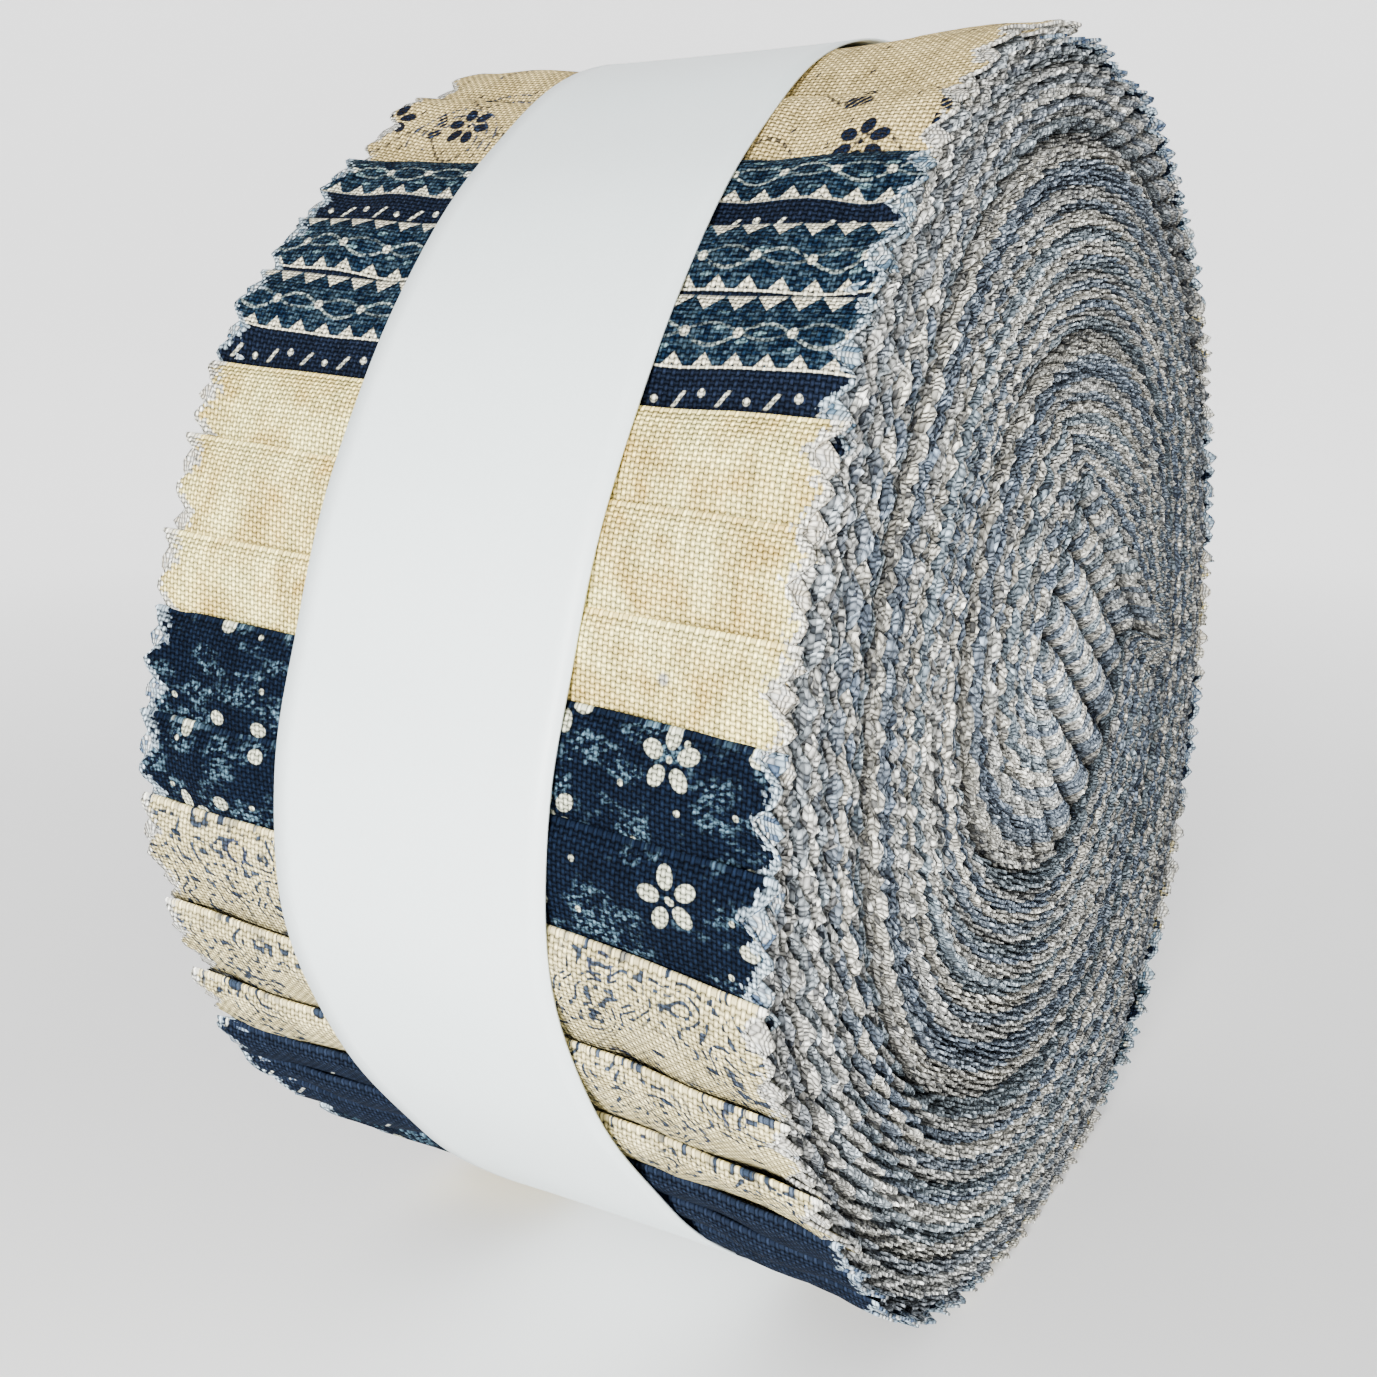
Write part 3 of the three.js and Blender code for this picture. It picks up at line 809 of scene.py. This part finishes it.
class Cloth:
    """A material under construction, with its surface coordinates in millimetres."""

    def __init__(self, name):
        self.material = bpy.data.materials.new(name)
        self.material.use_nodes = True
        self.tree = self.material.node_tree
        self.shader = self.tree.nodes["Principled BSDF"]
        place = self.node("UVMap")
        place.uv_map = "cloth"
        self.u, self.v = self.parts(place.outputs["UV"])

    def node(self, kind, **inputs):
        """A new node, with the named inputs set or linked."""
        node = self.tree.nodes.new("ShaderNode" + kind)
        for name, value in inputs.items():
            feed(self.tree, node.inputs[name], value)
        return node

    def attribute(self, name):
        node = self.node("Attribute")
        node.attribute_name = name
        return node

    def value(self, name):
        return Field(self.tree, self.attribute(name).outputs["Fac"])

    def parts(self, place):
        """A place's first two coordinates."""
        split = self.node("SeparateXYZ", Vector=place)
        return [Field(self.tree, split.outputs[axis]) for axis in ("X", "Y")]

    def vector(self, x, y, z=0.0):
        return self.node("CombineXYZ", X=x, Y=y, Z=z).outputs[0]

    def chance(self, x, y, z=0.0):
        """An even random number for each cell."""
        node = self.node("TexWhiteNoise", Vector=self.vector(x, y, z))
        return Field(self.tree, node.outputs["Value"])

    def clouds(self, x, y, scale, detail=2.0, seed=0.0):
        """Soft noise, about 0.5 in the middle, with lumps of 1/scale millimetres."""
        place = self.vector(x, y, seed)
        node = self.node("TexNoise", Vector=place, Scale=scale, Detail=detail)
        return Field(self.tree, node.outputs["Fac"])

    def mix(self, share, first, second):
        node = self.node("Mix")
        node.data_type = "RGBA"
        feed(self.tree, node.inputs["Factor"], share)
        for key, value in (("A", first), ("B", second)):
            slot = [item for item in node.inputs if item.name == key and item.type == "RGBA"][0]
            feed(self.tree, slot, (*value, 1) if isinstance(value, tuple) else value)
        return [item for item in node.outputs if item.type == "RGBA"][0]

    def scale(self, colour, factor):
        """A colour made lighter or darker by a number."""
        node = self.node("VectorMath")
        node.operation = "SCALE"
        feed(self.tree, node.inputs[0], colour)
        feed(self.tree, node.inputs["Scale"], factor)
        return node.outputs[0]

    def finish(self, colour, height, depth, roughness, sheen=0.0, strength=1.0, specular=0.03):
        """The material from its colour, its bump height and depth in metres, and its gloss."""
        looks = {
            "Base Color": colour,
            "Roughness": roughness,
            "Specular IOR Level": specular,
            "Sheen Weight": sheen,
            "Sheen Roughness": 0.5,
        }
        if height:
            bump = self.node("Bump", Height=height, Distance=depth, Strength=strength)
            looks["Normal"] = bump.outputs["Normal"]
        for name, value in looks.items():
            feed(self.tree, self.shader.inputs[name], value)
        return self.material


# The width in millimetres of a thread in the weave, and of one on the end faces
THREAD = 0.42
THREAD_END = 0.52


def beads(cloth, size):
    """Cut thread ends: each one's roundness, lightness, and chances to be white or a dark gap; the
    callers use roundness and gap for painted shade.
    """
    row = cloth.v.cell(size)
    uneven = cloth.clouds(cloth.u, cloth.v, 0.8, 0.0, 9.0)
    u = cloth.u + cloth.chance(row, 5.0, 2.0) * size + uneven * 1.2
    column = u.cell(size)
    x = u.wrap(size) * (2 / size)
    y = cloth.v.wrap(size) * (2 / size)
    dome = (x * x * -0.9 + 1.0) * (y * y * -0.5 + 1.0)
    chances = [cloth.chance(column, row, kind) for kind in (1.0, 2.0, 3.0)]
    return [dome] + chances


def weave(cloth, u, v):
    """A plain weave's height from 0 to 1: long warp grains in brick order over the weft."""
    column = u.cell(THREAD)
    row = v.cell(THREAD)
    x = u.wrap(THREAD) * (2 / THREAD)
    y = v.wrap(THREAD) * (2 / THREAD)
    over = (v * (math.pi / THREAD) + column * math.pi).op("COSINE")
    warp = (x * x * -0.75 + 1.0) * (over * 0.42 + 0.58)
    weft = (y * y * -0.6 + 0.62) * (over * -0.35 + 0.65)
    uneven = cloth.chance(column, 3.0, 1.0) * 0.2 + cloth.chance(row, 7.0, 2.0) * 0.2
    grain = cloth.chance(column, (v + column * THREAD).cell(2 * THREAD), 6.0) * 0.25
    return warp.most(weft) * (uneven + grain + 0.70)


def scattered(cloth, u, v, width, depth, seed, wander):
    """Motifs in a loose grid: coordinates from a motif's middle, its chance and its turn."""
    column = u.cell(width)
    shifted = v + cloth.chance(column, seed, 0.5) * depth
    row = shifted.cell(depth)
    aside, down, often, turn = [cloth.chance(column, row, seed + kind) for kind in range(4)]
    x = u.wrap(width) + (aside - 0.5) * wander
    y = shifted.wrap(depth) + (down - 0.5) * wander
    return x, y, often, turn


def ellipse(x, y, across, along, soft=0.25):
    square = (x / across) * (x / across) + (y / along) * (y / along)
    return square.below(1.0, soft)


def flower(x, y, size, turn, petals=5):
    """Separate oval petals round a small middle."""
    step = 2 * math.pi / petals
    angle = (y.op("ARCTAN2", x) + turn * 6.28).wrap(step)
    radius = length(x, y)
    across = radius * angle.op("COSINE") - 0.66 * size
    aside = radius * angle.op("SINE")
    petal = ellipse(across, aside, 0.36 * size, 0.26 * size, 0.35)
    return petal.most(radius.below(0.10 * size, 0.1))


def slash(x, y, half_length, half_width, lean):
    aside = x + y * lean
    return aside.size().below(half_width) * y.size().below(half_length)


INK = (0.004, 0.008, 0.022)


def print_cloth(name, ground, motifs, frayed, fray_reach, down_strip_shade=0.08):
    """A printed cotton: its ground, motif masks with their colours, weave and frayed edge, with painted
    highlight and shade laid into its colour.
    """
    cloth = Cloth(name)
    number = cloth.value("number").op("ROUND")
    height = weave(cloth, cloth.u, cloth.v)
    slide = cloth.chance(number, 11.0, 4.0)
    u = cloth.u + slide * 40.0
    v = cloth.v + number * 23.7
    colour = ground(cloth, u, v, number)
    for mask, tint in motifs(cloth, u, v, number):
        dappled = mask * (height * 0.4 + 0.80).op("MINIMUM", 1.0)
        colour = cloth.mix(dappled, colour, tint)
    edge = cloth.value("edge")
    rough = cloth.clouds(cloth.u, cloth.v, 0.9, 1.0, 5.0)
    reach = (rough * 2.6 - 0.5) * fray_reach
    density = (edge / reach.most(0.1)) * -1.0 + 1.0
    dome, light, threads, _ = beads(cloth, THREAD)
    fray = (density * 1.15 - threads * 0.9).ramp(4.0, 0.45) * 0.9
    # Painted shade on the rounded sides of the frayed thread ends
    ends = cloth.scale(frayed, (light * 0.7 + 0.55) * (dome * 0.6 + 0.45))
    colour = cloth.mix(fray, colour, ends)
    along = cloth.value("along")
    # Painted shade: darker in the crease just above the next strip's fold and further down the strip
    crease_shade = (along - 0.90).ramp(8.0, 0.0) * along.below(1.2, 0.1)
    wrinkle = cloth.clouds(cloth.u * 1.6, cloth.v * 0.7 + number * 9.0, 0.35, 1.0, 7.0) - 0.5
    # The weave's height and the wrinkles scale the colour: painted highlight and shade on their relief
    shade = (height * 2.2 - 0.34) * (crease_shade * -0.48 + 1.0) * (along.least(1.0) * -down_strip_shade + 1.0)
    colour = cloth.scale(colour, shade * (wrinkle * 0.5 + 1.0))
    height = height + wrinkle * 2.8
    return cloth.finish(colour, height, 0.00028, 0.95)


def cream_ground(cloth, u, v, number):
    wide = cloth.clouds(u, v, 0.16, 2.0).above(0.5, 0.28)
    fine = cloth.clouds(u, v, 0.75, 1.0, 3.0).above(0.52, 0.35)
    patches = wide * 0.65 + fine * 0.35
    return cloth.mix(patches, (0.94, 0.84, 0.36), (0.60, 0.43, 0.135))


def patchy(cloth, u, v, scale, light, dark):
    return cloth.mix(cloth.clouds(u, v, scale, 2.0).above(0.5, 0.5), light, dark)


def floral_ground(cloth, u, v, number):
    return patchy(cloth, u, v, 0.3, (0.72, 0.57, 0.27), (0.58, 0.44, 0.19))


def paisley_ground(cloth, u, v, number):
    return patchy(cloth, u, v, 0.35, (0.74, 0.65, 0.36), (0.54, 0.46, 0.235))


def blossom_ground(cloth, u, v, number):
    drift = cloth.clouds(u * 1.1, v * 1.6, 0.26, 2.0, 6.0).above(0.56, 0.12)
    specks = cloth.clouds(u + v * 0.4, v * 1.3, 1.9, 2.0, 3.0).above(0.54, 0.12)
    return cloth.mix(drift * specks * 0.8, (0.0034, 0.0066, 0.0150), (0.085, 0.15, 0.20))


def indigo_ground(cloth, u, v, number):
    patches = cloth.clouds(u, v, 0.5, 2.0)
    return cloth.mix(patches, (0.0050, 0.0086, 0.0180), (0.012, 0.018, 0.034))


def border_place(cloth, number):
    """Millimetres down the border print, which starts 1 mm further on in the first strip."""
    return cloth.v.size() + number.below(3.5, 0.2)


def border_ground(cloth, u, v, number):
    down = border_place(cloth, number)
    mottle = cloth.clouds(u, v, 1.1, 3.0, 8.0).above(0.5, 0.35)
    specks = cloth.chance(u.cell(0.55), v.cell(0.3), 6.0).above(0.60, 0.3)
    teal = cloth.mix(mottle * 0.7, (0.002, 0.0065, 0.017), (0.007, 0.019, 0.036))
    teal = cloth.mix(specks * 0.24, teal, (0.09, 0.15, 0.19))
    stripe = down.above(6.5, 0.1)
    return cloth.mix(stripe, teal, (0.0058, 0.0092, 0.0195))


def border_lights(cloth, u, v, number):
    down = border_place(cloth, number)
    pitch = 2.77
    base = 6.4
    across = u.wrap(pitch).size()
    point_up = across.below((down - (base - 1.25)) * 0.86, 0.15) * down.below(base, 0.1)
    notch = across.below((down - (base - 0.42)) * 0.7, 0.12)
    point_up = point_up * (-notch + 1.0)
    line = (down - (base - 0.06)).size().below(0.1, 0.08)
    offset = (u + pitch / 2).wrap(pitch).size()
    later = number.above(3.5, 0.2)
    point_down = offset.below((-down + 1.35) * 0.9, 0.15) * down.above(0.02, 0.1) * later
    wave = (u * (6.2832 / 9.5)).op("SINE")
    vine = (down - (wave * 0.95 + 3.55)).size()
    broken = cloth.clouds(u, v, 2.2, 1.0, 2.0).above(0.42, 0.2)
    stem = vine.below(0.15, 0.12) * broken * 0.6
    second = (down - (wave * -0.7 + 3.3)).size().below(0.14, 0.1) * broken * 0.22
    dots = length(u.wrap(4.75), down - 3.4).below(0.42, 0.15)
    leaf_x, leaf_y, often, _ = scattered(cloth, u, v, 2.1, 1.7, 41.0, 0.9)
    leaves = ellipse(leaf_x + leaf_y * 0.6, leaf_y, 0.55, 0.24) * often.above(0.6) * 0.45
    leaves = leaves * down.above(1.5) * down.below(5.5)
    row = down - 8.7
    spot = length(u.wrap(8.4), row + 0.35).below(0.33, 0.12)
    spot_low = length((u + 4.2).wrap(8.4), row - 0.25).below(0.30, 0.12)
    strokes = slash((u + 2.1).wrap(4.2), row - 0.1, 0.62, 0.2, 0.75)
    return [
        (point_up.most(line).most(point_down), (0.70, 0.66, 0.50)),
        (stem.most(second), (0.42, 0.50, 0.46)),
        (leaves, (0.20, 0.33, 0.36)),
        (dots.most(spot).most(spot_low).most(strokes), (0.66, 0.66, 0.54)),
    ]


def blossom_lights(cloth, u, v, number):
    x, y, often, turn = scattered(cloth, u, v, 9.6, 8.6, 21.0, 2.0)
    heads = flower(x, y, 2.4, turn) * often.above(0.50, 0.02)
    x, y, often, _ = scattered(cloth, u, v, 4.6, 4.3, 31.0, 1.6)
    buds = ellipse(x, y, 0.75, 0.62, 0.3) * often.above(0.80, 0.02)
    dots = length(x + 1.0, y - 0.9).below(0.24, 0.12) * often.below(0.35, 0.02)
    clear = (heads - 0.5).below(0.0, 0.1)
    return [(heads.most(buds * clear).most(dots), (0.50, 0.52, 0.40))]


def floral_inks(cloth, u, v, number):
    x, y, often, turn = scattered(cloth, u, v, 9.0, 8.0, 51.0, 2.4)
    heads = flower(x, y, 2.6, turn, 6) * often.above(0.34, 0.02)
    veins = (u * 0.8 + v).wrap(0.70).size().below(0.27, 0.08)
    left = ellipse(x + 4.0 + y * 0.5, y - 1.3, 1.7, 0.75, 0.3)
    right = ellipse(x + 3.6 - y * 0.7, y + 1.0, 0.8, 1.3, 0.3)
    leaf = left.most(right) * veins * often.above(0.2, 0.02)
    swing = (u * 0.62).op("SINE") * 1.9
    vine = (v + swing).wrap(8.0).size().below(0.24, 0.1) * u.wrap(0.8).size().below(0.24, 0.12)
    ring = length(u.wrap(17.0), (v + 2.0).wrap(9.0) - 3.5)
    arcs = ring.wrap(1.05).size().below(0.15, 0.1) * ring.above(2.4, 0.1) * ring.below(5.8, 0.1)
    broken = cloth.chance(u.cell(0.33), v.cell(0.5), 8.0).above(0.42, 0.1)
    arcs = arcs * broken * 0.9 * cloth.u.below(-10.0, 2.0)
    x, y, often, _ = scattered(cloth, u, v, 5.4, 5.0, 61.0, 1.6)
    ticks = slash(x, y, 0.30, 0.13, 0.5) * often.above(0.35, 0.02)
    main = heads.most(leaf).most(vine * 0.85)
    calm = (number - 1.0).size().above(0.5, 0.1)
    return [(main * calm, INK), (arcs, (0.03, 0.05, 0.10)), (ticks, INK)]


def paisley_inks(cloth, u, v, number):
    field = cloth.clouds(u, v, 0.17, 1.5, 12.0)
    lines = (field * 14.0).wrap(1.0).size().below(0.20, 0.12)
    dots = cloth.chance(u.cell(0.46), v.cell(0.42), 4.0).above(0.42, 0.1)
    busy = cloth.clouds(u, v, 0.12, 1.0, 15.0).above(0.40, 0.1)
    x, y, often, _ = scattered(cloth, u, v, 5.2, 4.6, 71.0, 1.8)
    leaf = ellipse(x + y * 0.9, y - x * 0.3, 0.72, 0.30) * often.above(0.55, 0.02)
    ring = (length(x - 1.1, y) - 1.0).size().below(0.16, 0.1) * often.below(0.40, 0.02) * dots
    return [
        (lines * dots * busy, (0.035, 0.048, 0.072)),
        (leaf, (0.02, 0.03, 0.05)),
        (ring, (0.04, 0.05, 0.08)),
    ]


def indigo_lights(cloth, u, v, number):
    x, y, often, _ = scattered(cloth, u, v, 4.4, 5.2, 81.0, 1.2)
    strokes = slash(x, y, 0.65, 0.17, 0.8) * often.above(0.72, 0.02)
    return [(strokes, (0.50, 0.52, 0.46))]


def speck(cloth, u, v, number):
    """One small grey-blue spot on the lowest of the three plain cream strips."""
    spot = length(cloth.u - 20.3, cloth.v - 3.9).below(0.5, 0.3)
    return [(spot * (number - 8.0).size().below(0.3, 0.1) * 0.7, (0.20, 0.24, 0.34))]


def plain_side(name, tint, print_and_shade):
    """The unprinted side and cut edge of a strip: its dark spots are partly print that shows through
    and partly painted shade between the thread ends.
    """
    cloth = Cloth(name)
    dome, light, white, gap = beads(cloth, THREAD)
    colour = cloth.mix(gap.above(0.62, 0.3) * 0.9, tint, print_and_shade)
    colour = cloth.mix(white.above(0.72, 0.2) * 0.7, colour, (0.80, 0.82, 0.80))
    # Painted shade on the rounded sides of each thread end
    colour = cloth.scale(colour, (light * 0.5 + 0.72) * (dome * 0.95 + 0.15))
    return cloth.finish(colour, dome * (light * 0.6 + 0.4), 0.00035, 0.95, sheen=0.02)


def thread_ends():
    """The cut edges on the end faces: each thread end has its own lightness, painted shade on its
    rounded sides and a dark gap of painted shade.
    """
    cloth = Cloth("cut_edges")
    paint = cloth.attribute("thread")
    dome, light, white, gap = beads(cloth, THREAD_END)
    bright = cloth.scale(paint.outputs["Color"], white.above(0.66, 0.15) * 0.9 + 1.0)
    # Near-black gaps between some thread ends and darker rounded sides: painted shade
    colour = cloth.mix(gap.above(0.82, 0.15) * 0.8, bright, (0.012, 0.017, 0.030))
    colour = cloth.scale(colour, (light * 0.6 + 0.66) * (dome + 0.14))
    return cloth.finish(colour, dome * (light * 0.6 + 0.4), 0.00045, 0.95, sheen=0.02)


def band_paper():
    """Smooth white paper with a slight fibre texture and a soft gloss."""
    cloth = Cloth("band_paper")
    fibres = cloth.clouds(cloth.u, cloth.v * 0.6, 3.2, 2.0, 1.0)
    cloudy = cloth.clouds(cloth.u, cloth.v, 0.07, 2.0, 4.0)
    tone = cloth.mix(cloudy, (0.66, 0.735, 0.75), (0.71, 0.78, 0.795))
    colour = cloth.scale(tone, fibres * 0.05 + 0.975)
    gloss = fibres * 0.12 + 0.36
    return cloth.finish(colour, fibres, 0.00003, gloss, strength=0.5, specular=0.4)


# The inside of the roll: near-black painted shade deep between the layers
def painted_shade_inside():
    cloth = Cloth("inner_layers")
    shade = cloth.clouds(cloth.u, cloth.v, 1.0, 2.0)
    colour = cloth.mix(shade, (0.012, 0.014, 0.022), (0.03, 0.032, 0.045))
    return cloth.finish(colour, None, 0.0, 0.95)


def pale_floor():
    """A pale floor that glows softly everywhere and more behind the object: painted light."""
    cloth = Cloth("floor")
    place = cloth.node("TexCoord").outputs["Object"]
    noise = cloth.node("TexNoise", Vector=place, Scale=30, Detail=0.0)
    grain = Field(cloth.tree, noise.outputs["Fac"])
    colour = cloth.mix(grain, (0.90, 0.90, 0.90), (0.93, 0.93, 0.93))
    x, y = cloth.parts(place)
    behind = (y * 0.86 - x * 0.51).ramp(2.5, 0.5)
    away = (length(x, y) - 0.10).ramp(2.2, 0.0)
    glow = away * behind * 0.85 + 0.16
    cloth.tree.links.new(glow.socket, cloth.shader.inputs["Emission Strength"])
    cloth.shader.inputs["Emission Color"].default_value = (1, 1, 1, 1)
    cloth.material.cycles.emission_sampling = "NONE"
    return cloth.finish(colour, None, 0.0, 0.9)


CREAM_FRAY = (0.86, 0.86, 0.80)
BLUE_FRAY = (0.46, 0.58, 0.68)
PRINTS = {
    "cream": print_cloth("cream_mottle", cream_ground, speck, CREAM_FRAY, 2.2),
    "floral": print_cloth("cream_floral", floral_ground, floral_inks, CREAM_FRAY, 1.4),
    "paisley": print_cloth("cream_paisley", paisley_ground, paisley_inks, CREAM_FRAY, 1.4, 0.30),
    "blossom": print_cloth("navy_blossom", blossom_ground, blossom_lights, BLUE_FRAY, 1.9),
    "border": print_cloth("blue_border", border_ground, border_lights, BLUE_FRAY, 1.4),
    "indigo": print_cloth("indigo", indigo_ground, indigo_lights, BLUE_FRAY, 1.1),
}
PLAIN_SIDES = {
    "cream": plain_side("cream_mottle_back", (0.80, 0.76, 0.66), (0.60, 0.55, 0.44)),
    "floral": plain_side("cream_floral_back", (0.78, 0.75, 0.66), (0.50, 0.48, 0.44)),
    "paisley": plain_side("cream_paisley_back", (0.74, 0.72, 0.64), (0.42, 0.41, 0.38)),
    "blossom": plain_side("navy_blossom_back", (0.42, 0.54, 0.64), (0.05, 0.09, 0.17)),
    "border": plain_side("blue_border_back", (0.46, 0.58, 0.66), (0.06, 0.12, 0.19)),
    "indigo": plain_side("indigo_back", (0.33, 0.43, 0.54), (0.04, 0.07, 0.14)),
}
THREADS = thread_ends()
INSIDE_SHADE = painted_shade_inside()
PAPER_FACE = band_paper()
FLOOR = pale_floor()


for number, (start, end) in enumerate(SPANS):
    make_strip(number, start, end, [PRINTS[start["print"]], PLAIN_SIDES[start["print"]]])
PATH = stack_path()

# The shares of a tooth at which a cut edge has points, and the depth in which it shows
NEAR_SAMPLES = (0, 0.13, 0.26, 0.38, 0.46, 0.54, 0.64, 0.8)
FAR_SAMPLES = (0, 0.25, 0.5, 0.75)
SHOWN_DEPTH = 4.5
GROUP = 20
NEAR = face_ribbons(1, 2 * STRIP_COUNT, NEAR_SAMPLES, SHOWN_DEPTH, PATH)
for index, first in enumerate(range(0, 2 * STRIP_COUNT, GROUP)):
    join_ribbons(f"near_cut_edges_{index + 1}", NEAR[first:first + GROUP], THREADS)
FAR = face_ribbons(-1, STRIP_COUNT, FAR_SAMPLES, SHOWN_DEPTH, PATH)
join_ribbons("far_cut_edges", FAR, THREADS)
make_drum(INSIDE_SHADE)
make_band(PAPER_FACE)
make_stage(FLOOR)
set_up_view()
